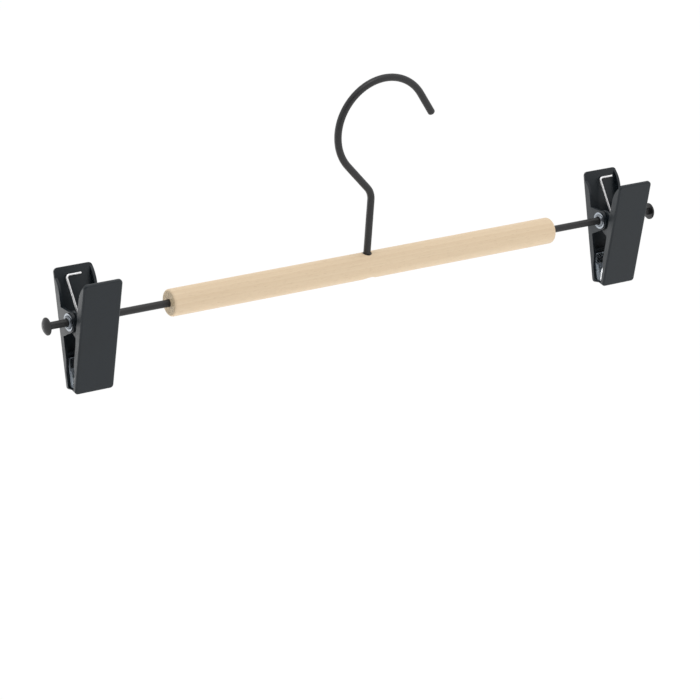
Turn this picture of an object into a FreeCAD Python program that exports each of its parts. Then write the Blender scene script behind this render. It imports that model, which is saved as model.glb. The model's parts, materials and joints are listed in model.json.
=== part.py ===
import FreeCAD, Part
import math
import os

from FreeCAD import Vector

# Skirt hanger: a round wooden bar on a swivelling wire hook, a headed rod in each end of the
# bar, and on each rod a sprung clip that slides along it and turns round it.
# Millimetres. +X runs along the bar, +Y to the back, +Z up. The origin is the rail seat:
# the point inside the hook, straight above the stem, where a rail bears.

# Wooden bar
BAR_DIAMETER = 14.0
BAR_LENGTH = 234.2
BAR_EDGE_ROUND = 1.3
BAR_DROP = 100.0            # rail seat down to the bar's axis

# Hook of bent wire
WIRE_DIAMETER = 3.8
HOOK_INSIDE_RADIUS = 24.8
HOOK_OFFSET = 3.8           # centre of the hook's arc, to +X of the stem
NECK_LEAN = 43.2            # degrees between the stem and the slanting neck
NECK_BEND_RADIUS = 10.0     # at the middle of the wire
HOOK_END_ANGLE = 34.6       # degrees above +X where the arc runs out straight
HOOK_TIP_LENGTH = 14.2
HOOK_TIP_ROUND = 0.9

# Swivel of the hook in the bar
STEM_CLEARANCE = 0.1        # radial, in the bar's cross bore
COLLAR_DIAMETER = 4.6       # swaged shoulder that stops the stem sinking into the bar
COLLAR_HEIGHT = 0.9
COLLAR_SEAT_DEPTH = 1.2     # counterbore below the crown of the bar
COLLAR_CLEARANCE = 0.25
WASHER_SEAT_DROP = 3.4      # floor of the lower counterbore, below the bar's axis
HOOK_WASHER_DIAMETER = 9.6
HOOK_WASHER_THICKNESS = 0.8
HOOK_WASHER_CLEARANCE = 0.4
PEEN_DIAMETER = 7.0         # hammered head under the washer
PEEN_HEIGHT = 1.5
PEEN_ROUND = 1.0
SWIVEL_PLAY = 0.1           # end play of each face in the swivel

# Headed rods
ROD_DIAMETER = 3.8
ROD_SEAT_LENGTH = 32.0      # pressed into the bar
ROD_FREE_LENGTH = 67.4      # from the bar's end to the underside of the head
ROD_FIT = 0.02              # radial
ROD_TAIL_SPACE = 1.0        # left at the bottom of the bore
ROD_MOUTH_CHAMFER = 0.35
HEAD_DIAMETER = 8.9
HEAD_RIM = 0.8              # straight edge of the button head
HEAD_HEIGHT = 2.6
HEAD_EDGE_ROUND = 0.3

# Clip: place on its rod and outer sizes, measured from the pivot
CLIP_FROM_HEAD = 22.4       # middle of the clip to the underside of the head
CLIP_LEAN = 6.0             # degrees that the clip's top leans back, turned on its rod
JAW_WIDTH = 21.4
JAW_ABOVE = 23.0
JAW_BELOW = 36.7
JAW_TOP_OUT = 16.9          # outer face from the middle plane, at the top
JAW_FOOT_OUT = 4.9          # and at the foot

# Jaw moulding
PLATE_THICKNESS = 1.7
WALL_THICKNESS = 1.5
HANDLE_WALL_DEPTH = 4.7     # side wall of the handle, from the outer face
JAW_WALL_DEPTH = 4.0        # side wall below the pivot
LUG_WALL_RUN_OUT = (10.5, 18.2)     # heights between which the handle's wall falls away upwards,
INSET_WALL_RUN_OUT = (12.5, 21.2)   # beside the lug in the wall and beside the lug set in from it
JAW_WALL_TOP = -5.0         # the handle's wall starts here, below the pivot
JAW_WALL_FALL = (-21.5, -28.0)      # heights between which the jaw's wall falls away downwards
PAD_BLOCK_DEPTH = 2.5       # face behind the pad, from the outer face
PAD_RIB_TOP = -18.5         # rib across the jaw, above the pad
PAD_RIB_THICKNESS = 1.2
LIP_DEPTH = 4.3             # inward lip at the foot, from the outer face
LIP_THICKNESS = 1.0
TOP_CORNER_RADIUS = 2.2
FOOT_CORNER_RADIUS = 1.8
OUTER_EDGE_ROUND = 1.0

# Hinge lugs, one in the wall and one set in from it, so that two equal jaws interleave
LUG_RADIUS = 5.25
LUG_THICKNESS = 1.5
LUG_GAP = 0.2
GUSSET_FOOT = -10.5         # where the lug's lower edge runs into the plate

# Pivot sleeve and its washers
SLEEVE_WALL = 0.62
SLEEVE_ROD_CLEARANCE = 0.08
SLEEVE_LUG_CLEARANCE = 0.05
SLEEVE_LIP_DIAMETER = 6.9
SLEEVE_LIP_HEIGHT = 0.9
CLIP_WASHER_DIAMETER = 9.0
CLIP_WASHER_THICKNESS = 0.5
CLIP_WASHER_CLEARANCE = 0.03
CLIP_PLAY = 0.1             # side play between washer and lug

# Soft grip pads
PAD_SIDE_GAP = 0.1          # between the pad's end and the jaw's wall
PAD_HEIGHT = 9.5
PAD_FLAT = 3.5              # height of the face that meets the other pad
PAD_TOP_THICKNESS = 0.9
PAD_GAP = 0.15              # from the middle plane
PAD_FOOT_GAP = 0.1          # above the lip

# Torsion spring
SPRING_WIRE = 1.2
SPRING_SLEEVE_GAP = 0.35
SPRING_PITCH = 1.75
SPRING_WRAPS = 3            # whole turns, besides the part turn between the arms
SPRING_TIP_HEIGHT = 19.2    # above the pivot
SPRING_TIP_LENGTH = 8.4     # along the handle, from the arm's line
SPRING_BEND_RADIUS = 1.6
SPRING_JAW_GAP = 0.2
SPRING_LUG_GAP = 0.4        # least gap beside the coil
SPRING_SETTLE = {"left": 0.0, "right": 0.97}  # where each coil lies, as a share of its end room

X_AXIS = Vector(1, 0, 0)
Y_AXIS = Vector(0, 1, 0)
Z_AXIS = Vector(0, 0, 1)
QUARTER_TURN = math.pi / 2
OVERRUN = 1.0               # how far a cutting tool stands out of what it cuts
TOUCH = 0.01                # nearer than this counts as the same place

# Derived places
bar_end = BAR_LENGTH / 2
clip_place = bar_end + ROD_FREE_LENGTH - CLIP_FROM_HEAD
jaw_tilt = math.atan2(JAW_TOP_OUT - JAW_FOOT_OUT, JAW_ABOVE + JAW_BELOW)
jaw_length = math.hypot(JAW_TOP_OUT - JAW_FOOT_OUT, JAW_ABOVE + JAW_BELOW)
sleeve_bore = ROD_DIAMETER / 2 + SLEEVE_ROD_CLEARANCE
sleeve_radius = sleeve_bore + SLEEVE_WALL
lug_hole = sleeve_radius + SLEEVE_LUG_CLEARANCE
lug_root_depth = (OUTER_EDGE_ROUND + PLATE_THICKNESS) / 2
inset_lug_face = JAW_WIDTH / 2 - 2 * LUG_THICKNESS - LUG_GAP
washer_face = JAW_WIDTH / 2 + CLIP_PLAY
hollow_width = JAW_WIDTH - 2 * WALL_THICKNESS
pad_width = hollow_width - 2 * PAD_SIDE_GAP
coil_radius = sleeve_radius + SPRING_SLEEVE_GAP + SPRING_WIRE / 2


def cylinder(radius, length, start, axis):
    """A round solid from start along axis."""
    return Part.makeCylinder(radius, length, start, axis)


def tangent_arc(start, direction, end):
    """The arc that leaves start along direction and arrives at end."""
    chord = end - start
    along = Vector(chord).normalize()
    direction = Vector(direction).normalize()
    side = direction - along * direction.dot(along)
    turn = math.atan2(side.Length, direction.dot(along))
    sagitta = chord.Length / 2 * math.tan(turn / 2)
    middle = start + chord * 0.5 + side.normalize() * sagitta
    return Part.Arc(start, middle, end).toShape()


def line(start, end):
    return Part.LineSegment(start, end).toShape()


def polyline(points):
    """Straight edges through the points, in order."""
    return [line(a, b) for a, b in zip(points, points[1:])]


def prism(edges, direction):
    """The flat outline of edges, pushed along direction."""
    return Part.Face(Part.Wire(edges)).extrude(direction)


def turned_solid(edges):
    """The flat outline of edges, turned all round the X axis."""
    profile = Part.Face(Part.Wire(Part.__sortEdges__(edges)))
    return Part.makeSolid(profile.revolve(Vector(), X_AXIS, 360).Shells[0])


def edges_at(shape, test):
    """The edges of shape whose middle point passes the test."""
    found = []
    for edge in shape.Edges:
        middle = edge.valueAt((edge.FirstParameter + edge.LastParameter) / 2)
        if test(middle):
            found.append(edge)
    return found


def hook_path():
    """The middle of the hook's wire, from the peened end to the tip, in the plane Y = 0."""
    lean = math.radians(NECK_LEAN)
    end_angle = math.radians(HOOK_END_ANGLE)
    arc_radius = HOOK_INSIDE_RADIUS + WIRE_DIAMETER / 2
    centre = Vector(HOOK_OFFSET, 0, -math.sqrt(HOOK_INSIDE_RADIUS ** 2 - HOOK_OFFSET ** 2))

    def on_arc(angle):
        return centre + Vector(math.cos(angle), 0, math.sin(angle)) * arc_radius

    neck_angle = math.pi + lean
    neck_top = on_arc(neck_angle)
    neck = Vector(-math.sin(lean), 0, math.cos(lean))
    knee = neck_top + neck * (neck_top.x / math.sin(lean))
    reach = NECK_BEND_RADIUS * math.tan(lean / 2)
    stem_top = knee - Z_AXIS * reach
    neck_foot = knee + neck * reach
    arc_end = on_arc(end_angle)
    tip = arc_end + Vector(math.sin(end_angle), 0, -math.cos(end_angle)) * HOOK_TIP_LENGTH
    stem_foot = Vector(0, 0, -BAR_DROP - WASHER_SEAT_DROP - HOOK_WASHER_THICKNESS - SWIVEL_PLAY)
    edges = [
        line(stem_foot, stem_top),
        tangent_arc(stem_top, Z_AXIS, neck_foot),
        line(neck_foot, neck_top),
        Part.Arc(neck_top, on_arc((neck_angle + end_angle) / 2), arc_end).toShape(),
        line(arc_end, tip),
    ]
    return edges, stem_foot, tip


def make_hook():
    """Bent wire with a rounded tip, a swaged collar and a hammered head at the foot of its stem."""
    edges, stem_foot, tip = hook_path()
    section = Part.Wire(Part.makeCircle(WIRE_DIAMETER / 2, stem_foot, Z_AXIS))
    wire = Part.Wire(edges).makePipeShell([section], True, False)
    rim = edges_at(wire, lambda p: abs(p.distanceToPoint(tip) - WIRE_DIAMETER / 2) < TOUCH)
    wire = wire.makeFillet(HOOK_TIP_ROUND, rim)
    collar_foot = Vector(0, 0, -BAR_DROP + BAR_DIAMETER / 2 - COLLAR_SEAT_DEPTH + SWIVEL_PLAY)
    collar = cylinder(COLLAR_DIAMETER / 2, COLLAR_HEIGHT, collar_foot, Z_AXIS)
    head = cylinder(PEEN_DIAMETER / 2, PEEN_HEIGHT, stem_foot, -Z_AXIS)
    low = stem_foot.z - PEEN_HEIGHT
    head = head.makeFillet(PEEN_ROUND, edges_at(head, lambda p: abs(p.z - low) < TOUCH))
    return wire.fuse([collar, head]).removeSplitter()


def make_hook_washer():
    """Flat ring between the hammered head and the bar."""
    top = Vector(0, 0, -BAR_DROP - WASHER_SEAT_DROP - SWIVEL_PLAY / 2)
    ring = cylinder(HOOK_WASHER_DIAMETER / 2, HOOK_WASHER_THICKNESS, top, -Z_AXIS)
    hole = cylinder(WIRE_DIAMETER / 2 + STEM_CLEARANCE, HOOK_WASHER_THICKNESS, top, -Z_AXIS)
    return ring.cut(hole)


def make_wood_bar():
    """Turned bar with a bore for a rod in each end and a stepped cross bore for the hook."""
    axis_middle = Vector(0, 0, -BAR_DROP)
    radius = BAR_DIAMETER / 2
    bar = cylinder(radius, BAR_LENGTH, axis_middle - X_AXIS * bar_end, X_AXIS)
    bar = bar.makeFillet(BAR_EDGE_ROUND, edges_at(bar, lambda p: abs(abs(p.x) - bar_end) < TOUCH))
    cross_start = axis_middle - Z_AXIS * (radius + OVERRUN)
    cross = cylinder(WIRE_DIAMETER / 2 + STEM_CLEARANCE, BAR_DIAMETER + 2 * OVERRUN, cross_start, Z_AXIS)
    collar_floor = axis_middle + Z_AXIS * (radius - COLLAR_SEAT_DEPTH)
    collar_radius = COLLAR_DIAMETER / 2 + COLLAR_CLEARANCE
    collar_seat = cylinder(collar_radius, COLLAR_SEAT_DEPTH + OVERRUN, collar_floor, Z_AXIS)
    washer_floor = axis_middle - Z_AXIS * WASHER_SEAT_DROP
    washer_radius = HOOK_WASHER_DIAMETER / 2 + HOOK_WASHER_CLEARANCE
    washer_seat = cylinder(washer_radius, radius, washer_floor, -Z_AXIS)
    tools = [cross, collar_seat, washer_seat]
    bore_radius = ROD_DIAMETER / 2 + ROD_FIT
    for out in (-X_AXIS, X_AXIS):
        mouth = axis_middle + out * bar_end
        tools.append(cylinder(bore_radius, ROD_SEAT_LENGTH + ROD_TAIL_SPACE, mouth, -out))
        cone = Part.makeCone(bore_radius + ROD_MOUTH_CHAMFER, bore_radius, ROD_MOUTH_CHAMFER, mouth, -out)
        tools.append(cone)
    return bar.cut(tools)


def make_rod():
    """Right-hand rod: a plain pin with a domed button head, turned about the bar's axis."""
    shaft = ROD_DIAMETER / 2
    rim = HEAD_DIAMETER / 2
    tail = bar_end - ROD_SEAT_LENGTH
    underside = bar_end + ROD_FREE_LENGTH
    crown = Vector(underside + HEAD_HEIGHT, 0, 0)
    dome_foot = Vector(underside + HEAD_RIM, 0, rim)
    edges = polyline([
        crown,
        Vector(tail, 0, 0),
        Vector(tail, 0, shaft),
        Vector(underside, 0, shaft),
        Vector(underside, 0, rim),
        dome_foot,
    ])
    edges.append(tangent_arc(crown, Z_AXIS, dome_foot))
    rod = turned_solid(edges)

    def on_head_edge(point):
        return abs(point.x - underside) < TOUCH and math.hypot(point.y, point.z) > rim - TOUCH

    rod = rod.makeFillet(HEAD_EDGE_ROUND, edges_at(rod, on_head_edge))
    rod.translate(Vector(0, 0, -BAR_DROP))
    return rod


def face_out(height):
    """Distance of a jaw's outer face from the middle plane, at a height from the pivot."""
    return JAW_FOOT_OUT + (height + JAW_BELOW) * math.tan(jaw_tilt)


def along_face(height):
    """Distance up a jaw's outer face from its foot, at a height from the pivot."""
    return (height + JAW_BELOW) / math.cos(jaw_tilt)


def on_jaw(shape):
    """Lean a shape modelled on the upright plate (outer face at Y = 0, foot at Z = 0) into a clip."""
    shape.rotate(Vector(), X_AXIS, -math.degrees(jaw_tilt))
    shape.translate(Vector(0, JAW_FOOT_OUT, -JAW_BELOW))
    return shape


def rounded_outline(corners):
    """Closed outline through right-angled corners, each given with the radius that rounds it off."""
    edges = []
    ends = []
    for index, (corner, radius) in enumerate(corners):
        before = corners[index - 1][0]
        after = corners[(index + 1) % len(corners)][0]
        start = corner + (before - corner).normalize() * radius
        end = corner + (after - corner).normalize() * radius
        edges.append(tangent_arc(start, corner - start, end))
        ends.append((start, end))
    for index, (start, end) in enumerate(ends):
        edges.append(line(ends[index - 1][1], start))
    return Part.__sortEdges__(edges)


def plate_outline():
    """Front view of a jaw: a tall rectangle with round corners, as a prism through its depth."""
    half = JAW_WIDTH / 2
    corners = [
        (Vector(-half, 0, 0), FOOT_CORNER_RADIUS),
        (Vector(half, 0, 0), FOOT_CORNER_RADIUS),
        (Vector(half, 0, jaw_length), TOP_CORNER_RADIUS),
        (Vector(-half, 0, jaw_length), TOP_CORNER_RADIUS),
    ]
    return prism(rounded_outline(corners), -Y_AXIS * JAW_TOP_OUT)


def plate_side(start, run_out):
    """Side view of half a jaw from X = start: lip, jaw wall, and handle wall that runs out upwards."""
    def at(depth, height):
        return Vector(start, -depth, height)

    fall_top, fall_foot = JAW_WALL_FALL
    run_out_foot = at(HANDLE_WALL_DEPTH, along_face(run_out[0]))
    run_out_top = at(PLATE_THICKNESS, along_face(run_out[1]))
    edges = polyline([
        at(0, 0),
        at(LIP_DEPTH, 0),
        at(LIP_DEPTH, LIP_THICKNESS),
        at(PAD_BLOCK_DEPTH, LIP_THICKNESS),
        at(PAD_BLOCK_DEPTH, along_face(fall_foot)),
        at(JAW_WALL_DEPTH, along_face(fall_top)),
        at(JAW_WALL_DEPTH, along_face(GUSSET_FOOT)),
        at(HANDLE_WALL_DEPTH, along_face(JAW_WALL_TOP)),
        run_out_foot,
    ])
    edges.append(tangent_arc(run_out_foot, Z_AXIS, run_out_top))
    edges += polyline([run_out_top, at(PLATE_THICKNESS, jaw_length), at(0, jaw_length), at(0, 0)])
    return prism(edges, X_AXIS * JAW_WIDTH / 2)


def make_lug(start):
    """Hinge lug of the back jaw as a plate from X = start, with a round end about the pivot."""
    def root(height):
        return Vector(start, face_out(height) - lug_root_depth, height)

    def on_round(angle):
        return Vector(start, LUG_RADIUS * math.cos(angle), LUG_RADIUS * math.sin(angle))

    gusset = root(GUSSET_FOOT)
    gusset_angle = math.atan2(gusset.z, gusset.y)
    touch = gusset_angle - math.acos(LUG_RADIUS / math.hypot(gusset.y, gusset.z)) + 2 * math.pi
    arc = Part.Arc(on_round(QUARTER_TURN), on_round((QUARTER_TURN + touch) / 2), on_round(touch)).toShape()
    edges = [arc] + polyline([on_round(touch), gusset, root(LUG_RADIUS), on_round(QUARTER_TURN)])
    return prism(edges, X_AXIS * LUG_THICKNESS)


def inner_box(depth, foot, top):
    """The room between a jaw's walls, from a depth below the outer face inwards."""
    corner = Vector(-hollow_width / 2, -JAW_TOP_OUT, foot)
    return Part.makeBox(hollow_width, JAW_TOP_OUT - depth, top - foot, corner)


def make_back_jaw():
    """One jaw moulding about its pivot: handle plate, side walls, pad pocket, rib, lip and two lugs."""
    lug_half = plate_side(-JAW_WIDTH / 2, LUG_WALL_RUN_OUT)
    inset_half = plate_side(0, INSET_WALL_RUN_OUT)
    shell = plate_outline().common(lug_half.fuse(inset_half)).removeSplitter()
    rim = edges_at(shell, lambda p: p.y > -TOUCH)
    shell = shell.makeFillet(OUTER_EDGE_ROUND, rim)
    rib_top = along_face(PAD_RIB_TOP)
    hollow = inner_box(PLATE_THICKNESS, rib_top, jaw_length)
    pocket = inner_box(PAD_BLOCK_DEPTH, LIP_THICKNESS, rib_top - PAD_RIB_THICKNESS)
    shell = on_jaw(shell.cut([hollow, pocket]))
    wall_lug = make_lug(-JAW_WIDTH / 2)
    inset_lug = make_lug(inset_lug_face)
    pivot_hole = cylinder(lug_hole, JAW_WIDTH + 2 * OVERRUN, -X_AXIS * (JAW_WIDTH / 2 + OVERRUN), X_AXIS)
    return shell.fuse([wall_lug, inset_lug]).cut(pivot_hole).removeSplitter()


def make_back_pad():
    """Soft pad in the pocket of the back jaw: flat where the pads meet, falling away above."""
    def at(depth, height):
        return Vector(-pad_width / 2, -depth, height)

    def meeting(height):
        middle_plane = JAW_FOOT_OUT / math.cos(jaw_tilt) + height * math.tan(jaw_tilt)
        return at(middle_plane - PAD_GAP, height)

    foot = LIP_THICKNESS + PAD_FOOT_GAP
    top = foot + PAD_HEIGHT
    flat_top = meeting(foot + PAD_FLAT)
    brow = at(PAD_BLOCK_DEPTH + PAD_TOP_THICKNESS, top)
    edges = polyline([brow, at(PAD_BLOCK_DEPTH, top), at(PAD_BLOCK_DEPTH, foot), meeting(foot), flat_top])
    edges.append(tangent_arc(flat_top, flat_top - meeting(foot), brow))
    return on_jaw(prism(edges, X_AXIS * pad_width))


def make_sleeve():
    """Hollow rivet through the lugs, with a rolled lip outside each washer."""
    lip_foot = washer_face + CLIP_WASHER_THICKNESS
    end = lip_foot + SLEEVE_LIP_HEIGHT
    lip = SLEEVE_LIP_DIAMETER / 2
    crest = (sleeve_bore + lip) / 2
    edges = []
    for side in (-1, 1):
        mouth = Vector(side * lip_foot, 0, sleeve_bore)
        top = Vector(side * end, 0, crest)
        rim = Vector(side * lip_foot, 0, lip)
        root = Vector(side * lip_foot, 0, sleeve_radius)
        edges.append(tangent_arc(mouth, X_AXIS * side, top))
        edges.append(tangent_arc(rim, X_AXIS * side, top))
        edges.append(line(rim, root))
    for radius in (sleeve_bore, sleeve_radius):
        edges.append(line(Vector(-lip_foot, 0, radius), Vector(lip_foot, 0, radius)))
    return turned_solid(edges)


def make_clip_washer(side):
    """Flat ring on the sleeve, on the given side of the clip."""
    start = X_AXIS * side * washer_face
    ring = cylinder(CLIP_WASHER_DIAMETER / 2, CLIP_WASHER_THICKNESS, start, X_AXIS * side)
    hole = cylinder(sleeve_radius + CLIP_WASHER_CLEARANCE, CLIP_WASHER_THICKNESS, start, X_AXIS * side)
    return ring.cut(hole)


def biarc(start, start_direction, end, end_direction):
    """Two arcs that join smoothly from one directed point to another."""
    chord = end - start
    both = start_direction + end_direction
    bend = 2 * (1 - start_direction.dot(end_direction))
    reach = chord.dot(both)
    arm = (math.sqrt(reach ** 2 + bend * chord.dot(chord)) - reach) / bend
    joint = (start + start_direction * arm + end - end_direction * arm) * 0.5
    back = tangent_arc(end, -end_direction, joint)
    return [tangent_arc(start, start_direction, joint), back]


def spring_arm(coil_point, direction, tip_direction, length):
    """Straight arm from the coil, a bend, and a tip laid along the handle."""
    corner = coil_point + direction * length
    turn = direction.getAngle(tip_direction)
    reach = SPRING_BEND_RADIUS * math.tan(turn / 2)
    bend_start = corner - direction * reach
    bend_end = corner + tip_direction * reach
    tip = corner + tip_direction * SPRING_TIP_LENGTH
    edges = [
        line(coil_point, bend_start),
        tangent_arc(bend_start, direction, bend_end),
        line(bend_end, tip),
    ]
    return edges, tip


def make_spring(settle):
    """Coil round the sleeve; each arm leaves it on its own handle's side and pushes that handle out."""
    stand_off = (PLATE_THICKNESS + SPRING_JAW_GAP + SPRING_WIRE / 2) / math.cos(jaw_tilt)
    tip_out = face_out(SPRING_TIP_HEIGHT) - stand_off
    tip_distance = math.hypot(tip_out, SPRING_TIP_HEIGHT)
    first = math.acos(coil_radius / tip_distance) - math.atan2(SPRING_TIP_HEIGHT, tip_out)
    last = math.pi - first + 2 * math.pi * SPRING_WRAPS
    lead = SPRING_PITCH / (2 * math.pi)
    middle = (first + last) / 2
    end_room = inset_lug_face - SPRING_LUG_GAP - lead * (last - middle) - SPRING_WIRE / 2

    def point(angle):
        along = settle * end_room + lead * (angle - middle)
        return Vector(along, coil_radius * math.cos(angle), -coil_radius * math.sin(angle))

    def direction(angle):
        return Vector(lead, -coil_radius * math.sin(angle), -coil_radius * math.cos(angle)).normalize()

    pieces = math.ceil((last - first) / QUARTER_TURN)
    angles = [first + (last - first) * step / pieces for step in range(pieces + 1)]
    coil = []
    for a, b in zip(angles, angles[1:]):
        coil += biarc(point(a), direction(a), point(b), direction(b))
    arm_length = math.sqrt(tip_distance ** 2 - coil_radius ** 2) * math.hypot(coil_radius, lead) / coil_radius
    back_arm, back_tip = spring_arm(point(first), -direction(first), X_AXIS, arm_length)
    front_arm, _ = spring_arm(point(last), direction(last), -X_AXIS, arm_length)
    path = Part.Wire(Part.__sortEdges__(back_arm + coil + front_arm))
    section = Part.Wire(Part.makeCircle(SPRING_WIRE / 2, back_tip, X_AXIS))
    print("spring: wire length %.1f mm, least gap to itself %.2f mm" % (path.Length, own_gap(path)))
    return path.makePipeShell([section], True, False)


def own_gap(path):
    """Least clear gap between turns of the spring's wire, measured on points along its middle."""
    spacing = SPRING_WIRE / 4
    points = path.discretize(Distance=spacing)
    skip = math.ceil(math.pi * SPRING_WIRE / spacing)
    least = min(p.distanceToPoint(q) for i, p in enumerate(points) for q in points[i + skip:])
    return least - SPRING_WIRE


def turned(shape):
    """The same shape turned half round about the upright middle line of the clip."""
    other = shape.copy()
    other.rotate(Vector(), Z_AXIS, 180)
    return other


def make_clip(name, side):
    """The pieces of one clip at its place on its rod; side is -1 on the left and 1 on the right."""
    back_jaw = make_back_jaw()
    back_pad = make_back_pad()
    pieces = {
        "pivot_sleeve": make_sleeve(),
        "inner_washer": make_clip_washer(-side),
        "outer_washer": make_clip_washer(side),
        "back_jaw": back_jaw,
        "front_jaw": turned(back_jaw),
        "back_pad": back_pad,
        "front_pad": turned(back_pad),
        "spring": make_spring(SPRING_SETTLE[name]),
    }
    for piece in pieces.values():
        piece.rotate(Vector(), X_AXIS, -CLIP_LEAN)
        piece.translate(Vector(side * clip_place, 0, -BAR_DROP))
    return {name + "_" + key: piece for key, piece in pieces.items()}


def build():
    nodes = {
        "hook": make_hook(),
        "hook_washer": make_hook_washer(),
        "wood_bar": make_wood_bar(),
        "left_rod": turned(make_rod()),
        "right_rod": make_rod(),
    }
    nodes.update(make_clip("left", -1))
    nodes.update(make_clip("right", 1))
    return nodes


os.makedirs("parts", exist_ok=True)
for node, shape in build().items():
    shape.exportStep("parts/" + node + ".step")
    facts = (node, len(shape.Solids), shape.Volume, shape.isValid())
    print("%-20s solids %d  volume %.1f mm3  valid %s" % facts)
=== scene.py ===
# %% [markdown]
# # A skirt hanger, dressed piece by piece
# The real hanger is a pale wooden bar on a black wire hook. A black headed rod stands out of each
# end of the bar, and on each rod sits a black plastic clip with a bright spring and soft clear pads.
# The hard pieces come in as exact solids, so this lesson gives them their finish, and models afresh
# the two kinds of piece that give way in use: the springs and the pads.

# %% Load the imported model
import json
import math

import bmesh
import bpy
from mathutils import Matrix, Vector


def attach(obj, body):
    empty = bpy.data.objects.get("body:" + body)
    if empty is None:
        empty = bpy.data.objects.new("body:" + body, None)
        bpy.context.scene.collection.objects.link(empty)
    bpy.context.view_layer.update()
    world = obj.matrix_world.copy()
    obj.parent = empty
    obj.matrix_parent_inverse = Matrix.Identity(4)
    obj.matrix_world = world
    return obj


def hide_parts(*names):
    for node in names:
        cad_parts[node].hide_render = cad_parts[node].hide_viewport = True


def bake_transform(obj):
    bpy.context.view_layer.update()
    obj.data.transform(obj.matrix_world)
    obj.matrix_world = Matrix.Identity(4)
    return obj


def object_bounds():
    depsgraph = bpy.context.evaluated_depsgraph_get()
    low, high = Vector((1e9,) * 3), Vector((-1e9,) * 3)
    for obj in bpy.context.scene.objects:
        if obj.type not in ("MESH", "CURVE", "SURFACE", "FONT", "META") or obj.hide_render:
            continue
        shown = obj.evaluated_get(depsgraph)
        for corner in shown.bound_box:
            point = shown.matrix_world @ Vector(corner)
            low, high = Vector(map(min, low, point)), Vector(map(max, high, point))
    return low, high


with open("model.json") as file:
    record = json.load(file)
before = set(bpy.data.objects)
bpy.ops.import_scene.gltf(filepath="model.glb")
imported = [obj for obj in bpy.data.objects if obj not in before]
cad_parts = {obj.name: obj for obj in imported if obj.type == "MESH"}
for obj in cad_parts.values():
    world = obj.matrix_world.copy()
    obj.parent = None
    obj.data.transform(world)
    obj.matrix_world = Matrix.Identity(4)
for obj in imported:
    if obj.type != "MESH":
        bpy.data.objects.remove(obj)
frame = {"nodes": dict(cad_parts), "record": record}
solids = frame["nodes"]
cad_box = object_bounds()
MM = 0.001

# %% [markdown]
# ## Camera
# The photograph looks down on the hanger from its left front, with a long lens and a slight tilt.
# A camera could be turned by hand until it looks right. Here it is set from three angles, a
# distance and a focal length, which is easier to correct: each number moves one thing in the image.

# %% Place the camera
IMAGE_PIXELS = 700
FOCAL_PIXELS = 3021.4
SENSOR_WIDTH = 36.0
VIEW_AZIMUTH = math.radians(-34.372)
VIEW_ELEVATION = math.radians(24.674)
VIEW_ROLL = math.radians(4.169)
VIEW_DISTANCE = 1561.4 * MM
AIM_RIGHT = -5.065 * MM
AIM_UP = -44.271 * MM
BAR_MIDDLE = Vector((0, 0, -100 * MM))

back = Vector((
    math.sin(VIEW_AZIMUTH) * math.cos(VIEW_ELEVATION),
    -math.cos(VIEW_AZIMUTH) * math.cos(VIEW_ELEVATION),
    math.sin(VIEW_ELEVATION),
))
level_right = Vector((math.cos(VIEW_AZIMUTH), math.sin(VIEW_AZIMUTH), 0))
level_up = back.cross(level_right)
right = level_right * math.cos(VIEW_ROLL) + level_up * math.sin(VIEW_ROLL)
up = level_up * math.cos(VIEW_ROLL) - level_right * math.sin(VIEW_ROLL)

camera_data = bpy.data.cameras.new("camera")
camera_data.sensor_width = SENSOR_WIDTH
camera_data.lens = FOCAL_PIXELS * SENSOR_WIDTH / IMAGE_PIXELS
camera = bpy.data.objects.new("camera", camera_data)
bpy.context.collection.objects.link(camera)
camera_turn = Matrix((right, up, back)).transposed().to_4x4()
camera_place = BAR_MIDDLE + level_right * AIM_RIGHT + level_up * AIM_UP + back * VIEW_DISTANCE
camera.matrix_world = Matrix.Translation(camera_place) @ camera_turn
bpy.context.scene.camera = camera
print("camera: lens %.1f mm, %.2f m away" % (camera_data.lens, VIEW_DISTANCE))

# %% [markdown]
# ## Small helpers for shader nodes
# Every finish below is made of nodes. A few helpers keep that short: they add a node with its
# values, do sums and mixes, and start a material. Values that are even all over a surface are set on
# the shader's own sockets, because a linked constant would be lost when the model is exported.

# %% Node helpers
def add(tree, kind, inputs=None, **properties):
    """A new node in the tree, with its properties and the values of its named inputs set."""
    node = tree.nodes.new("ShaderNode" + kind)
    for name, value in properties.items():
        setattr(node, name, value)
    for name, value in (inputs or {}).items():
        node.inputs[name].default_value = value
    return node


def math_node(tree, operation, first, second):
    """The result of a sum on two values; each is a number or another node's output."""
    node = add(tree, "Math", operation=operation)
    for socket, value in zip(node.inputs, (first, second)):
        if isinstance(value, bpy.types.NodeSocket):
            tree.links.new(value, socket)
        else:
            socket.default_value = value
    return node.outputs[0]


def mix_colours(tree, mask, first, second):
    """The first colour where the mask is 0 and the second where it is 1."""
    node = add(tree, "Mix", data_type="RGBA")
    tree.links.new(mask, node.inputs["Factor"])
    for socket, value in ((node.inputs[6], first), (node.inputs[7], second)):
        if isinstance(value, bpy.types.NodeSocket):
            tree.links.new(value, socket)
        else:
            socket.default_value = (*value, 1.0)
    return node.outputs[2]


def remap(tree, value, low, high):
    """A value from 0 to 1 brought to the range from low to high."""
    node = add(tree, "MapRange", {"To Min": low, "To Max": high})
    tree.links.new(value, node.inputs["Value"])
    return node.outputs[0]


def new_material(name, constants):
    """A material with a Principled shader, its even values set on the shader's own sockets."""
    material = bpy.data.materials.new(name)
    material.use_nodes = True
    shader = material.node_tree.nodes["Principled BSDF"]
    for socket, value in constants.items():
        shader.inputs[socket].default_value = value
    return material, material.node_tree, shader


def bump(tree, shader, height, depth):
    """Raise the surface by the height, depth metres at most, through a Bump node."""
    node = add(tree, "Bump", {"Strength": 1.0, "Distance": depth})
    tree.links.new(height, node.inputs["Height"])
    tree.links.new(node.outputs["Normal"], shader.inputs["Normal"])


print("helpers ready")

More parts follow.
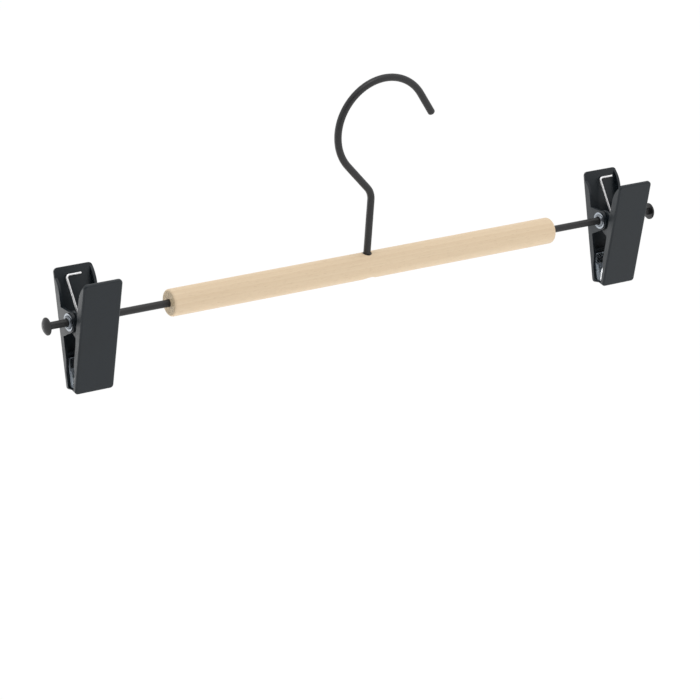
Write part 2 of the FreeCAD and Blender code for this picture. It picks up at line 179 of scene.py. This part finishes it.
# %% [markdown]
# ## Effects that several finishes share
# Powder coat, moulded plastic, vinyl and sanded wood all have a fine grain, and no real surface is
# equally glossy all over. Wire and washers carry fine lines from drawing and turning. Each effect
# is a node group, built once and placed in the materials with its own size.

# %% Node groups for grain, patches and lines
def new_group(name, inputs, output):
    """An empty group with named number inputs and one number output."""
    group = bpy.data.node_groups.new(name, "ShaderNodeTree")
    for socket, value in inputs.items():
        made = group.interface.new_socket(socket, in_out="INPUT", socket_type="NodeSocketFloat")
        made.default_value = value
    group.interface.new_socket(output, in_out="OUTPUT", socket_type="NodeSocketFloat")
    inside = group.nodes.new("NodeGroupInput").outputs
    outside = group.nodes.new("NodeGroupOutput").inputs
    return group, inside, outside


def noise_over_surface(group, size, detail):
    """Noise fixed to the piece, with patches of the size that a socket gives in metres."""
    place = add(group, "TexCoord")
    noise = add(group, "TexNoise", {"Detail": detail})
    group.links.new(place.outputs["Object"], noise.inputs["Vector"])
    group.links.new(math_node(group, "DIVIDE", 1.0, size), noise.inputs["Scale"])
    return noise.outputs["Fac"]


fine_grain, inside, outside = new_group("fine_grain", {"Size": 0.0003}, "Height")
fine_grain.links.new(noise_over_surface(fine_grain, inside["Size"], 2.0), outside["Height"])

soft_patches, inside, outside = new_group("soft_patches", {"Size": 0.02}, "Mask")
patch_range = {"From Min": 0.35, "From Max": 0.65}
spread = add(soft_patches, "MapRange", patch_range, interpolation_type="SMOOTHSTEP")
soft_patches.links.new(noise_over_surface(soft_patches, inside["Size"], 3.0), spread.inputs["Value"])
soft_patches.links.new(spread.outputs[0], outside["Mask"])

fine_lines, inside, outside = new_group("fine_lines", {"Across": 0.0, "Spacing": 0.0002}, "Height")
lines = add(fine_lines, "TexNoise", {"Scale": 1.0, "Detail": 3.0}, noise_dimensions="1D")
lines_across = math_node(fine_lines, "DIVIDE", inside["Across"], inside["Spacing"])
fine_lines.links.new(lines_across, lines.inputs["W"])
fine_lines.links.new(lines.outputs["Fac"], outside["Height"])


def effect(tree, group, inputs):
    """One of the groups placed in a material, with its input values; returns its output."""
    node = add(tree, "Group", node_tree=group)
    for name, value in inputs.items():
        if isinstance(value, bpy.types.NodeSocket):
            tree.links.new(value, node.inputs[name])
        else:
            node.inputs[name].default_value = value
    return node.outputs[0]


print("shared effects:", [group.name for group in bpy.data.node_groups])

# %% [markdown]
# ## Pale wood
# The bar is turned from a pale, close-grained wood and sanded, with hardly any gloss. Long faint
# streaks run along it, the year rings show as slightly darker lines, and short fine flecks lie
# between them. The sawn ends cut across the pores, so they are darker and speckled. An image of
# wood would repeat and would not turn the corner onto the end, so the grain is worked out in space:
# rings round a line beside the bar, drawn out along X.

# %% Finish: pale wood
def stretched_noise(tree, scale, detail):
    """Noise with its own scale, per metre, along each axis of the piece."""
    place = add(tree, "TexCoord")
    mapping = add(tree, "Mapping", {"Scale": scale})
    noise = add(tree, "TexNoise", {"Scale": 1.0, "Detail": detail})
    tree.links.new(place.outputs["Object"], mapping.inputs["Vector"])
    tree.links.new(mapping.outputs["Vector"], noise.inputs["Vector"])
    return noise.outputs["Fac"]


def year_rings(tree):
    """Bands round a line that runs beside the bar, the heart of the tree."""
    place = add(tree, "TexCoord")
    mapping = add(tree, "Mapping", {"Location": (0, 0.031, 0.118), "Scale": (0.03, 1, 1)})
    wave_inputs = {"Scale": 130.0, "Distortion": 2.2, "Detail": 3.0, "Detail Scale": 0.5}
    wave = add(tree, "TexWave", wave_inputs, wave_type="RINGS", rings_direction="X", wave_profile="SAW")
    tree.links.new(place.outputs["Object"], mapping.inputs["Vector"])
    tree.links.new(mapping.outputs["Vector"], wave.inputs["Vector"])
    return wave.outputs["Fac"]


def rising(tree, value, low, high):
    """0 below the low value, 1 above the high one, and a straight rise between them."""
    node = add(tree, "MapRange", {"From Min": low, "From Max": high})
    tree.links.new(value, node.inputs["Value"])
    return node.outputs[0]


def end_mask(tree):
    """1 on the sawn ends of the bar and 0 on its round."""
    place = add(tree, "TexCoord")
    parts = add(tree, "SeparateXYZ")
    tree.links.new(place.outputs["Normal"], parts.inputs[0])
    facing = math_node(tree, "ABSOLUTE", parts.outputs["X"], 0.0)
    return rising(tree, facing, 0.75, 0.97)


def tinted(tree, colour, mask, share, tint):
    """A colour with a share of the tint over it where the mask is 1."""
    return mix_colours(tree, math_node(tree, "MULTIPLY", mask, share), colour, tint)


def make_pale_wood():
    material, tree, shader = new_material("sanded_wood", {"Specular IOR Level": 0.35})
    streaks = remap(tree, stretched_noise(tree, (7, 430, 430), 4.0), -0.4, 1.4)
    rings = year_rings(tree)
    flecks = rising(tree, stretched_noise(tree, (330, 3600, 3600), 1.0), 0.6, 0.72)
    specks = rising(tree, stretched_noise(tree, (900, 1500, 1500), 2.0), 0.5, 0.66)

    round_wood = mix_colours(tree, streaks, (0.80, 0.645, 0.455), (0.745, 0.58, 0.395))
    round_wood = tinted(tree, round_wood, rings, 0.35, (0.70, 0.52, 0.335))
    round_wood = tinted(tree, round_wood, flecks, 0.3, (0.55, 0.38, 0.22))
    end_wood = tinted(tree, (0.62, 0.50, 0.33), rings, 0.6, (0.46, 0.345, 0.215))
    end_wood = tinted(tree, end_wood, specks, 0.7, (0.20, 0.15, 0.10))
    wood = mix_colours(tree, end_mask(tree), round_wood, end_wood)
    tree.links.new(wood, shader.inputs["Base Color"])

    patches = effect(tree, soft_patches, {"Size": 0.012})
    tree.links.new(remap(tree, patches, 0.5, 0.62), shader.inputs["Roughness"])
    sanding = effect(tree, fine_grain, {"Size": 0.00025})
    pores = math_node(tree, "MAXIMUM", flecks, specks)
    pits = math_node(tree, "MULTIPLY", pores, -0.8)
    bump(tree, shader, math_node(tree, "ADD", sanding, pits), 0.00003)
    return material


pale_wood = make_pale_wood()
print("pale wood:", len(pale_wood.node_tree.nodes), "nodes")

# %% [markdown]
# ## Black powder coat
# The hook and the rods are steel wire, sprayed with powder that melts into a satin black skin. Close
# up the skin is slightly wavy, like orange peel, and its gloss changes softly from place to place.
# A very dark base with a middling roughness gives the dark grey that the white studio puts on it.

# %% Finish: black powder coat
def make_black_steel():
    material, tree, shader = new_material("powder_coat", {"Specular IOR Level": 0.5})
    patches = effect(tree, soft_patches, {"Size": 0.009})
    colour = mix_colours(tree, patches, (0.011, 0.011, 0.012), (0.016, 0.016, 0.017))
    tree.links.new(colour, shader.inputs["Base Color"])
    tree.links.new(remap(tree, patches, 0.42, 0.52), shader.inputs["Roughness"])
    bump(tree, shader, effect(tree, fine_grain, {"Size": 0.0006}), 0.00004)
    return material


black_steel = make_black_steel()
print("black powder coat:", len(black_steel.node_tree.nodes), "nodes")

# %% [markdown]
# ## Black moulded plastic
# The jaws come out of a mould whose walls were roughened by sparks, which leaves a fine even matt
# grain that hides scratches. The colour leans slightly to blue. The grain is far too small to
# model, so it is a bump, and the softly changing roughness stands for where hands have been.

# %% Finish: black plastic
def make_black_plastic():
    material, tree, shader = new_material("moulded_plastic", {"Specular IOR Level": 0.4})
    patches = effect(tree, soft_patches, {"Size": 0.014})
    colour = mix_colours(tree, patches, (0.0075, 0.0122, 0.0165), (0.0108, 0.0160, 0.0210))
    tree.links.new(colour, shader.inputs["Base Color"])
    tree.links.new(remap(tree, patches, 0.40, 0.50), shader.inputs["Roughness"])
    bump(tree, shader, effect(tree, fine_grain, {"Size": 0.00022}), 0.000025)
    return material


black_plastic = make_black_plastic()
print("black plastic:", len(black_plastic.node_tree.nodes), "nodes")

# %% [markdown]
# ## Bright zinc
# The hollow rivets and their washers are pressed steel with a thin bluish zinc plating. Pressing and
# rolling leave fine lines round the hole, so the lines follow the distance from the rod's axis.

# %% Finish: bright zinc
def distance_from_bar_axis(tree):
    """How far a point lies from the line along the middle of the bar and the rods, in metres."""
    place = add(tree, "TexCoord")
    centred = add(tree, "Mapping", {"Location": -BAR_MIDDLE, "Scale": (0, 1, 1)})
    length = add(tree, "VectorMath", operation="LENGTH")
    tree.links.new(place.outputs["Object"], centred.inputs["Vector"])
    tree.links.new(centred.outputs["Vector"], length.inputs[0])
    return length.outputs["Value"]


def make_zinc_steel():
    material, tree, shader = new_material("bright_zinc", {"Metallic": 1.0})
    patches = effect(tree, soft_patches, {"Size": 0.0025})
    colour = mix_colours(tree, patches, (0.15, 0.165, 0.185), (0.25, 0.27, 0.29))
    tree.links.new(colour, shader.inputs["Base Color"])
    tree.links.new(remap(tree, patches, 0.24, 0.36), shader.inputs["Roughness"])
    rolled = effect(tree, fine_lines, {"Across": distance_from_bar_axis(tree), "Spacing": 0.00016})
    bump(tree, shader, rolled, 0.00001)
    return material


zinc_steel = make_zinc_steel()
print("bright zinc:", len(zinc_steel.node_tree.nodes), "nodes")

# %% [markdown]
# ## Bright spring wire
# Spring wire is pulled through a die, which leaves it bright with faint lines along its length. The
# wire pieces below carry a UV map with the way round the wire in U, so the lines can follow it.

# %% Finish: spring wire
def make_spring_steel():
    material, tree, shader = new_material("drawn_wire", {"Metallic": 1.0})
    patches = effect(tree, soft_patches, {"Size": 0.004})
    colour = mix_colours(tree, patches, (0.86, 0.86, 0.87), (0.94, 0.94, 0.94))
    tree.links.new(colour, shader.inputs["Base Color"])
    tree.links.new(remap(tree, patches, 0.36, 0.48), shader.inputs["Roughness"])
    place = add(tree, "TexCoord")
    parts = add(tree, "SeparateXYZ")
    tree.links.new(place.outputs["UV"], parts.inputs[0])
    drawn = effect(tree, fine_lines, {"Across": parts.outputs["X"], "Spacing": 0.03})
    bump(tree, shader, drawn, 0.000008)
    return material


spring_steel = make_spring_steel()
print("spring wire:", len(spring_steel.node_tree.nodes), "nodes")

# %% [markdown]
# ## Clear vinyl
# The grip pads are soft clear vinyl with a slight blue tint. Light goes into the thick vinyl and
# comes out scattered, so it looks milky between the dark jaws, while a thin film of it hardly shows.
# True scattering is slow to render. So the thick vinyl lets a part of the light through and
# scatters the rest at its surface, and the film is made see-through by its alpha.

# %% Finish: clear vinyl
def vinyl_colour(tree, patches):
    return mix_colours(tree, patches, (0.41, 0.47, 0.53), (0.56, 0.63, 0.70))


def make_clear_vinyl():
    constants = {"Transmission Weight": 0.6, "IOR": 1.46, "Specular IOR Level": 0.5}
    material, tree, shader = new_material("soft_vinyl", constants)
    patches = effect(tree, soft_patches, {"Size": 0.005})
    tree.links.new(vinyl_colour(tree, patches), shader.inputs["Base Color"])
    tree.links.new(remap(tree, patches, 0.26, 0.38), shader.inputs["Roughness"])
    bump(tree, shader, effect(tree, fine_grain, {"Size": 0.0012}), 0.000018)
    return material


def make_vinyl_film():
    material, tree, shader = new_material("vinyl_film", {"Roughness": 0.25, "IOR": 1.46})
    patches = effect(tree, soft_patches, {"Size": 0.005})
    tree.links.new(vinyl_colour(tree, patches), shader.inputs["Base Color"])
    tree.links.new(remap(tree, patches, 0.02, 0.05), shader.inputs["Alpha"])
    return material


clear_vinyl = make_clear_vinyl()
vinyl_film = make_vinyl_film()
for vinyl in (clear_vinyl, vinyl_film):
    print(vinyl.name + ":", len(vinyl.node_tree.nodes), "nodes")

# %% [markdown]
# ## Give the solids their finish
# The solids already have the right shape, so each only changes its material. The record lists a
# slot for every solid, so a table from slot to finish is enough.

# %% Assign the finishes
finishes = {
    "pale_wood": pale_wood,
    "black_steel": black_steel,
    "black_plastic": black_plastic,
    "zinc_steel": zinc_steel,
    "spring_steel": spring_steel,
    "clear_vinyl": clear_vinyl,
}
for subpart in frame["record"]["subparts"]:
    solid = solids[subpart["node"]]
    for material_slot in solid.material_slots:
        material_slot.material = finishes[subpart["material_slot"]]

# %% [markdown]
# ## Where a clip is, and how a jaw stands in it
# Springs and pads are modelled about the pivot of a clip, in millimetres, and then placed. Both
# clips lean back a little on their rods. The front jaw is the back jaw turned half round, so one
# matrix per jaw puts the same shape in four places.

# %% Sizes of a clip and its frames
CLIP_PLACE = 162.1
CLIP_LEAN = math.radians(6.0)
JAW_ABOVE = 23.0
JAW_BELOW = 36.7
JAW_TOP_OUT = 16.9
JAW_FOOT_OUT = 4.9
JAW_TILT = math.atan2(JAW_TOP_OUT - JAW_FOOT_OUT, JAW_ABOVE + JAW_BELOW)
SIDES = {"left": -1, "right": 1}


def clip_frame(side):
    """Clip coordinates in millimetres to the hanger's frame in metres."""
    place = Matrix.Translation(BAR_MIDDLE + Vector((SIDES[side] * CLIP_PLACE * MM, 0, 0)))
    return place @ Matrix.Rotation(-CLIP_LEAN, 4, "X") @ Matrix.Scale(MM, 4)


def jaw_frame(side, jaw):
    """The same for a jaw: outer face at Y = 0, foot at Z = 0, its inside towards -Y."""
    turn = Matrix.Rotation(math.pi if jaw == "front" else 0.0, 4, "Z")
    stand = Matrix.Translation((0, JAW_FOOT_OUT, -JAW_BELOW)) @ Matrix.Rotation(-JAW_TILT, 4, "X")
    return clip_frame(side) @ turn @ stand


def new_piece(name, shape, place, material):
    """A mesh object from a bmesh, put in place, smooth but for its real edges."""
    shape.transform(place)
    bmesh.ops.recalc_face_normals(shape, faces=shape.faces)
    mesh = bpy.data.meshes.new(name)
    shape.to_mesh(mesh)
    shape.free()
    mesh.materials.append(material)
    mesh.shade_smooth()
    mesh.set_sharp_from_angle(angle=math.radians(40))
    piece = bpy.data.objects.new(name, mesh)
    bpy.context.collection.objects.link(piece)
    return piece


print("jaws stand %.1f degrees off the middle plane" % math.degrees(JAW_TILT))

# %% [markdown]
# ## Torsion springs
# Each clip is shut by a wire coil round its rivet, whose two arms rise and push the handles
# apart. When the clip opens, the arms turn with the handles and the coil winds up. A curve with a
# bevel would give the wire, but not the arms' motion, so the wire is swept in mesh code as three
# pieces: each arm rides on its own jaw, and the coil stays fixed in the hanger's frame.

# %% The wire's path
PLATE_THICKNESS = 1.7
SPRING_WIRE = 1.2
COIL_RADIUS = 3.55
SPRING_PITCH = 1.75
SPRING_WRAPS = 3
SPRING_TIP_HEIGHT = 19.2
SPRING_TIP_LENGTH = 8.4
SPRING_BEND_RADIUS = 1.6
SPRING_JAW_GAP = 0.2
SPRING_LUG_GAP = 0.4
SPRING_SETTLE = {"left": 0.0, "right": 0.97}
INSET_LUG_FACE = 7.5
COIL_STEPS = 150
BEND_STEPS = 10
LEAD = SPRING_PITCH / math.tau

face_at_tip = JAW_FOOT_OUT + (SPRING_TIP_HEIGHT + JAW_BELOW) * math.tan(JAW_TILT)
tip_out = face_at_tip - (PLATE_THICKNESS + SPRING_JAW_GAP + SPRING_WIRE / 2) / math.cos(JAW_TILT)
tip_distance = math.hypot(tip_out, SPRING_TIP_HEIGHT)
first_angle = math.acos(COIL_RADIUS / tip_distance) - math.atan2(SPRING_TIP_HEIGHT, tip_out)
last_angle = math.pi - first_angle + math.tau * SPRING_WRAPS
middle_angle = (first_angle + last_angle) / 2
slope = math.hypot(COIL_RADIUS, LEAD) / COIL_RADIUS
arm_length = math.sqrt(tip_distance ** 2 - COIL_RADIUS ** 2) * slope
end_room = INSET_LUG_FACE - SPRING_LUG_GAP - LEAD * (last_angle - middle_angle) - SPRING_WIRE / 2


def coil_point(angle, settle):
    """A point on the coil; settle is the share of the free end room by which it lies to one side."""
    along = settle * end_room + LEAD * (angle - middle_angle)
    return Vector((along, COIL_RADIUS * math.cos(angle), -COIL_RADIUS * math.sin(angle)))


def coil_direction(angle):
    """The way that the wire runs there."""
    ahead = Vector((LEAD, -COIL_RADIUS * math.sin(angle), -COIL_RADIUS * math.cos(angle)))
    return ahead.normalized()


def rounded_corner(into, corner, out, radius):
    """Points on the arc that rounds off a corner between two directions."""
    turn = into.angle(out)
    start = corner - into * (radius * math.tan(turn / 2))
    inward = (out - into * into.dot(out)).normalized()
    centre = start + inward * radius
    points = []
    for step in range(BEND_STEPS + 1):
        angle = turn * step / BEND_STEPS
        points.append(centre + (into * math.sin(angle) - inward * math.cos(angle)) * radius)
    return points


def arm_path(root, direction, tip_direction):
    """Straight arm from the coil, a bend, and a tip laid along the handle."""
    corner = root + direction * arm_length
    bend = rounded_corner(direction, corner, tip_direction, SPRING_BEND_RADIUS)
    return [root, *bend, corner + tip_direction * SPRING_TIP_LENGTH]


print("spring: %.2f turns, arms %.1f mm long" % ((last_angle - first_angle) / math.tau, arm_length))

# %% [markdown]
# ## Sweeping the wire
# A wire is a circle carried along a path. The circle must not twist on its way, or the fine lines
# on the wire would wind round it, so each section turns its sides only as far as the path bends.

# %% Sweep a wire
WIRE_SIDES = 20
TIP_ROUND = 0.15


def carried_along(path):
    """Path points with the two side directions of the wire, turned as little as possible."""
    out = []
    for index, point in enumerate(path):
        ahead = path[min(index + 1, len(path) - 1)]
        behind = path[max(index - 1, 0)]
        tangent = (ahead - behind).normalized()
        if out:
            side = out[-1][1] - tangent * tangent.dot(out[-1][1])
        else:
            side = tangent.orthogonal()
        side.normalize()
        out.append((point, side, tangent.cross(side)))
    return out


def wire_rings(path, radius, end_rounding):
    """Centres, side directions and radii of the wire's sections, the tip's edge eased."""
    sections = [(point, a, b, radius) for point, a, b in carried_along(path)]
    if end_rounding:
        tip, a, b, _ = sections[-1]
        inwards = (path[-2] - tip).normalized() * TIP_ROUND
        sections[-1:] = [(tip + inwards, a, b, radius), (tip, a, b, radius - TIP_ROUND)]
    return sections


def add_wire(shape, path, wire_radius, end_rounding):
    """Add a closed round wire along the path, with U round the wire and V along it."""
    uv = shape.loops.layers.uv.verify()
    turns = [math.tau * step / WIRE_SIDES for step in range(WIRE_SIDES)]
    rings = []
    for point, a, b, radius in wire_rings(path, wire_radius, end_rounding):
        spokes = [(a * math.cos(turn) + b * math.sin(turn)) * radius for turn in turns]
        rings.append([shape.verts.new(point + spoke) for spoke in spokes])
    for row, (low, high) in enumerate(zip(rings, rings[1:])):
        for step in range(WIRE_SIDES):
            after = (step + 1) % WIRE_SIDES
            face = shape.faces.new((low[step], low[after], high[after], high[step]))
            corners = ((step, row), (step + 1, row), (step + 1, row + 1), (step, row + 1))
            for loop, (around, along) in zip(face.loops, corners):
                loop[uv].uv = (around / WIRE_SIDES, along / len(rings))
    shape.faces.new(rings[0])
    shape.faces.new(rings[-1])


print("wires have", WIRE_SIDES, "sides")

# %% [markdown]
# ## Fitting the springs
# The coils sit at different places along their rivets, as a loose coil does. Each arm rides on the
# jaw that it pushes. The coil is fixed in the hanger's frame and follows neither jaw.

# %% Fit both springs
def spring_shape(path, end_rounding):
    shape = bmesh.new()
    add_wire(shape, path, SPRING_WIRE / 2, end_rounding)
    return shape


step_angle = (last_angle - first_angle) / COIL_STEPS
coil_angles = [first_angle + step_angle * step for step in range(COIL_STEPS + 1)]
for side, settle in SPRING_SETTLE.items():
    coil_path = [coil_point(angle, settle) for angle in coil_angles]
    back_path = arm_path(coil_path[0], -coil_direction(first_angle), Vector((1, 0, 0)))
    front_path = arm_path(coil_path[-1], coil_direction(last_angle), Vector((-1, 0, 0)))
    place = clip_frame(side)
    for jaw, path in (("back", back_path), ("front", front_path)):
        arm = new_piece(side + "_spring_" + jaw + "_arm", spring_shape(path, True), place, spring_steel)
        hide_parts(side + "_spring")
        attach(arm, side + "_" + jaw)
    coil = new_piece(side + "_spring_coil", spring_shape(coil_path, False), place, spring_steel)
    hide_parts(side + "_spring")
    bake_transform(coil)
    print(side, "spring: coil from x %.1f to %.1f mm" % (coil_path[0].x, coil_path[-1].x))

# %% [markdown]
# ## Grip pads
# Between the feet of the jaws sit two soft clear pads that hold the cloth. Each is flat where it meets
# the other, falls away above in a curve so that a waistband slips in, and has small ribs across its
# face for grip. Ribs could be a bump in the finish, but they show at the pad's ends, so they are
# shaped: the outline from the side is drawn once and pushed through the pad's width. The edges of
# the ends are eased with a bevel, as a moulded piece has no sharp edge.

# %% Shape of a pad
PAD_WIDTH = 18.2
PAD_FOOT = 1.1
PAD_HEIGHT = 9.5
PAD_FLAT = 3.5
PAD_BACK_DEPTH = 2.5
PAD_TOP_THICKNESS = 0.9
PAD_GAP = 0.15
PAD_EASE = 0.3
PAD_ROUND = 0.96
RIB_DEPTH = 0.28
RIB_COUNT = 9
RIB_STEPS = 8


def pad_face_depth(height):
    """Depth of the pad's plain face below the jaw's outer face, at a height above the foot."""
    flat_top = PAD_FOOT + PAD_FLAT
    meeting = JAW_FOOT_OUT / math.cos(JAW_TILT) + min(height, flat_top) * math.tan(JAW_TILT) - PAD_GAP
    if height <= flat_top:
        return meeting
    share = (height - flat_top) / (PAD_HEIGHT - PAD_FLAT)
    drop = meeting - PAD_BACK_DEPTH - PAD_TOP_THICKNESS
    fall = (1 - math.sqrt(1 - share ** 2 * PAD_ROUND)) / (1 - math.sqrt(1 - PAD_ROUND))
    return meeting - drop * fall


def pad_outline():
    """Side view of a pad: its back, then the ribbed face from foot to top."""
    points = [(PAD_BACK_DEPTH, PAD_FOOT + PAD_HEIGHT), (PAD_BACK_DEPTH, PAD_FOOT)]
    steps = RIB_COUNT * RIB_STEPS
    for step in range(steps + 1):
        height = PAD_FOOT + PAD_HEIGHT * step / steps
        groove = RIB_DEPTH * (1 - math.cos(math.tau * step / RIB_STEPS)) / 2
        points.append((pad_face_depth(height) - groove, height))
    return points


def join_outlines(shape, first, second):
    """Close two outlines of equal count into a solid; returns the faces at its ends."""
    for index in range(len(first)):
        shape.faces.new((first[index - 1], first[index], second[index], second[index - 1]))
    return [shape.faces.new(first), shape.faces.new(second)]


def pad_shape():
    """The outline pushed through the width, with the edges of its ends eased."""
    shape = bmesh.new()
    half = PAD_WIDTH / 2
    near = [shape.verts.new((-half, -depth, height)) for depth, height in pad_outline()]
    far = [shape.verts.new((half, -depth, height)) for depth, height in pad_outline()]
    end_faces = join_outlines(shape, near, far)
    rim = list({edge for face in end_faces for edge in face.edges})
    bmesh.ops.bevel(shape, geom=rim, offset=PAD_EASE, segments=3, affect="EDGES", profile=0.5)
    return shape


print("pad:", RIB_COUNT, "ribs, outline of", len(pad_outline()), "points")

# %% [markdown]
# ## The pads' clear tongues
# Above its thick part each pad goes on as a thin clear tongue, which lies in the jaw's pocket. Only
# the tongue's rim catches the light, as a fine line that bends down at the side. One plate would do
# for the shape, but not for the look: the rim is milky and the middle clear. So the rim is swept
# as a wire is, and a thin film fills it.

# %% Tongues, and fitting the four pads
TONGUE_TOP = 16.1
TONGUE_CORNER = 1.3
TONGUE_RIM = 0.4
TONGUE_FILM = 0.3
TONGUE_OFF_JAW = 0.05


def tongue_path():
    """Middle of the tongue's rim: up one side, over two round corners and down the other."""
    half = PAD_WIDTH / 2 - TONGUE_RIM
    depth = PAD_BACK_DEPTH + TONGUE_OFF_JAW + TONGUE_RIM
    top = TONGUE_TOP - TONGUE_RIM
    root = PAD_FOOT + PAD_HEIGHT - PAD_TOP_THICKNESS
    rise = Vector((0, 0, 1))
    across = Vector((1, 0, 0))
    near = rounded_corner(rise, Vector((-half, -depth, top)), across, TONGUE_CORNER)
    far = rounded_corner(across, Vector((half, -depth, top)), -rise, TONGUE_CORNER)
    return [Vector((-half, -depth, root)), *near, *far, Vector((half, -depth, root))]


def film_shape():
    """The thin clear film that the tongue's rim goes round."""
    shape = bmesh.new()
    reach = Vector((0, TONGUE_FILM / 2, 0))
    rear = [shape.verts.new(point + reach) for point in tongue_path()]
    front = [shape.verts.new(point - reach) for point in tongue_path()]
    join_outlines(shape, rear, front)
    return shape


for side in SIDES:
    for jaw in ("back", "front"):
        body = side + "_" + jaw
        place = jaw_frame(side, jaw)
        shape = pad_shape()
        add_wire(shape, tongue_path(), TONGUE_RIM, False)
        pad = new_piece(body + "_grip_pad", shape, place, clear_vinyl)
        film = new_piece(body + "_pad_film", film_shape(), place, vinyl_film)
        for piece in (pad, film):
            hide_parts(body + "_pad")
            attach(piece, body)
        print(body, "pad:", len(pad.data.polygons), "faces")

# %% [markdown]
# ## White studio
# The photograph was taken in a white tent on a bright table, so light comes from everywhere and
# shadows are faint. A dome gives that even light, at a strength at which a colour renders about as
# it is written, and the floor, well below the hanging piece, glows a little. To the camera, in
# mirrors and through clear pieces both are simply white, so the background needs no more light.

# %% Floor and dome
FLOOR_DROP = 0.55
FLOOR_SIZE = 12.0
FLOOR_GLOW = 0.38
FLOOR_SHOWS_LIGHT = 0.04
DOME_LIGHT = 0.97
WHITE = (1.0, 1.0, 1.0, 1.0)


def seen_directly(tree):
    """1 for rays from the camera, and for its rays mirrored or let through by the object."""
    path = add(tree, "LightPath")
    seen = math_node(tree, "MAXIMUM", path.outputs["Is Camera Ray"], path.outputs["Is Glossy Ray"])
    return math_node(tree, "MAXIMUM", seen, path.outputs["Is Transmission Ray"])


def make_floor_paper():
    constants = {
        "Base Color": (0.9, 0.9, 0.9, 1.0),
        "Roughness": 0.9,
        "Emission Color": WHITE,
        "Emission Strength": FLOOR_GLOW,
    }
    material, tree, shader = new_material("floor_paper", constants)
    white = add(tree, "Emission", {"Color": WHITE, "Strength": 1.0})
    mix = add(tree, "MixShader")
    share = math_node(tree, "MULTIPLY", seen_directly(tree), 1.0 - FLOOR_SHOWS_LIGHT)
    tree.links.new(share, mix.inputs[0])
    tree.links.new(shader.outputs[0], mix.inputs[1])
    tree.links.new(white.outputs[0], mix.inputs[2])
    tree.links.new(mix.outputs[0], tree.nodes["Material Output"].inputs["Surface"])
    return material


def studio_sheet(name, size, place, material):
    """A flat square sheet of the studio, which is no part of the object."""
    shape = bmesh.new()
    bmesh.ops.create_grid(shape, x_segments=1, y_segments=1, size=size / 2)
    sheet = new_piece(name, shape, place, material)
    return sheet


floor_place = Matrix.Translation((0, 0, cad_box[0].z - FLOOR_DROP))
studio_sheet("floor", FLOOR_SIZE, floor_place, make_floor_paper())

world = bpy.data.worlds.new("white_tent")
bpy.context.scene.world = world
world.use_nodes = True
dome = world.node_tree.nodes["Background"]
dome.inputs["Color"].default_value = WHITE
strength = remap(world.node_tree, seen_directly(world.node_tree), DOME_LIGHT, 1.0)
world.node_tree.links.new(strength, dome.inputs["Strength"])
bpy.context.scene.view_settings.view_transform = "Standard"
print("studio: dome %.2f, floor %.2f m below the hanger" % (DOME_LIGHT, FLOOR_DROP))

# %% [markdown]
# ## Lamps and a dark card
# Even light alone makes black pieces look flat. A small soft lamp, low behind on the left, brightens
# the sides that face it, and one above draws out the top edges. The tent is open round the camera,
# and satin black mirrors that opening as a dark patch. A dark card behind the camera, hidden from
# direct view, stands for the opening and keeps the faces towards it deep black.

# %% Lamps and card
LEFT_LAMP_PLACE = Vector((-0.45, 0.75, -0.46))
LEFT_LAMP_SIZE = 0.4
LEFT_LAMP_WATTS = 0.9
TOP_LAMP_PLACE = Vector((0.0, -0.25, 1.3))
TOP_LAMP_SIZE = 0.5
TOP_LAMP_WATTS = 3.4
CARD_DISTANCE = 2.2
CARD_SIZE = 2.0


def soft_lamp(name, place, size, watts):
    """A square soft lamp that faces the middle of the bar."""
    data = bpy.data.lights.new(name, "AREA")
    data.size = size
    data.energy = watts
    lamp = bpy.data.objects.new(name, data)
    bpy.context.collection.objects.link(lamp)
    lamp.location = place
    lamp.rotation_euler = (BAR_MIDDLE - place).to_track_quat("-Z", "Y").to_euler()


soft_lamp("left_lamp", LEFT_LAMP_PLACE, LEFT_LAMP_SIZE, LEFT_LAMP_WATTS)
soft_lamp("top_lamp", TOP_LAMP_PLACE, TOP_LAMP_SIZE, TOP_LAMP_WATTS)

card_paper = new_material("dark_card", {"Base Color": (0.03, 0.03, 0.03, 1.0)})[0]
card_place = Matrix.Translation(BAR_MIDDLE + back * CARD_DISTANCE) @ camera_turn
card = studio_sheet("dark_card", CARD_SIZE, card_place, card_paper)
card.visible_camera = False
print("lamps: %.1f W left, %.1f W above" % (LEFT_LAMP_WATTS, TOP_LAMP_WATTS))
